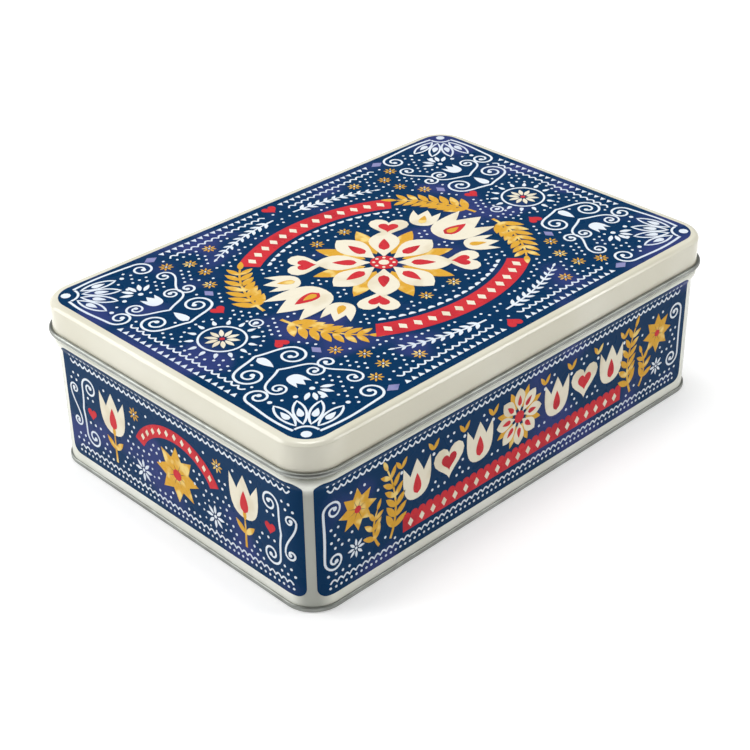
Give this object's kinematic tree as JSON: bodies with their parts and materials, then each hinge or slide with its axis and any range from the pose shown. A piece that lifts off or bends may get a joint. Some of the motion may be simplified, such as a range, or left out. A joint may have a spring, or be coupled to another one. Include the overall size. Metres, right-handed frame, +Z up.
{
  "type": "rectangular storage tin with slip lid",
  "caption": "Flat rectangular tinplate storage tin, shut: slip lid with a rolled hem, upright walls with a pressed ridge under it, and a base seamed round its foot.",
  "frame": {"origin": "middle of the underside, on the surface that the tin stands on", "axes": "+X along the long sides, +Y along the short sides, +Z up through the lid"},
  "size_m": [0.2332, 0.1602, 0.0735],
  "materials": {
    "cream_enamel": "glossy cream coating on sheet steel",
    "bare_tinplate": "bare tinned steel, satin",
    "printed_ink": "coloured print under a gloss varnish"
  },
  "bodies": {
    "root": {"lid": "cream_enamel", "tin_body": "cream_enamel", "base_plate": "bare_tinplate"}
  },
  "joints": []
}
